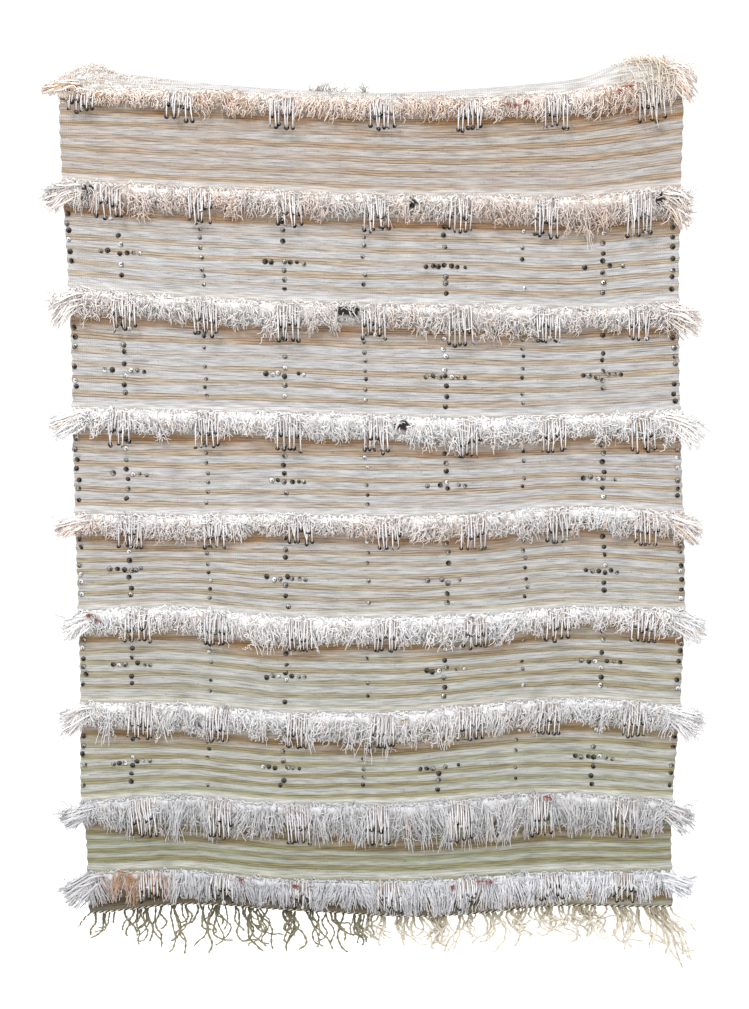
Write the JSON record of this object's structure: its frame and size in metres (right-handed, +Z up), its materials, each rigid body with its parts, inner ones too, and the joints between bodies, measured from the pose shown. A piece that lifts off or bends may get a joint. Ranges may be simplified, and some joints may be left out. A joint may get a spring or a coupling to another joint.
{
  "type": "handira wedding blanket",
  "caption": "Wool wedding blanket hanging over a line, with fine weft stripes, rows of shaggy pile, yarn tassels, sewn metal discs and warp fringe.",
  "frame": {"origin": "middle of the top fold's underside, where the line carries the cloth", "axes": "+Z up, +X to the right as seen from the decorated face, which faces -Y"},
  "size_m": [1.316, 0.0903, 1.8187],
  "materials": {
    "ground_weave": "matt striped wool weave",
    "pile_wool": "matt shaggy wool",
    "twined_cord": "matt twined wool cord",
    "warp_yarn": "matt twisted yarn",
    "sequin_metal": "dull dished discs"
  },
  "bodies": {
    "root": {"ground_cloth": "ground_weave", "pile_row_1": "pile_wool", "pile_row_2": "pile_wool", "pile_row_3": "pile_wool", "pile_row_4": "pile_wool", "pile_row_5": "pile_wool", "pile_row_6": "pile_wool", "pile_row_7": "pile_wool", "pile_row_8": "pile_wool", "pile_row_9": "pile_wool", "hem_cord_lower": "twined_cord", "hem_cord_upper": "twined_cord", "warp_fringe_lower": "warp_yarn", "warp_fringe_upper": "warp_yarn", "corner_strands": "warp_yarn"}
  },
  "joints": []
}
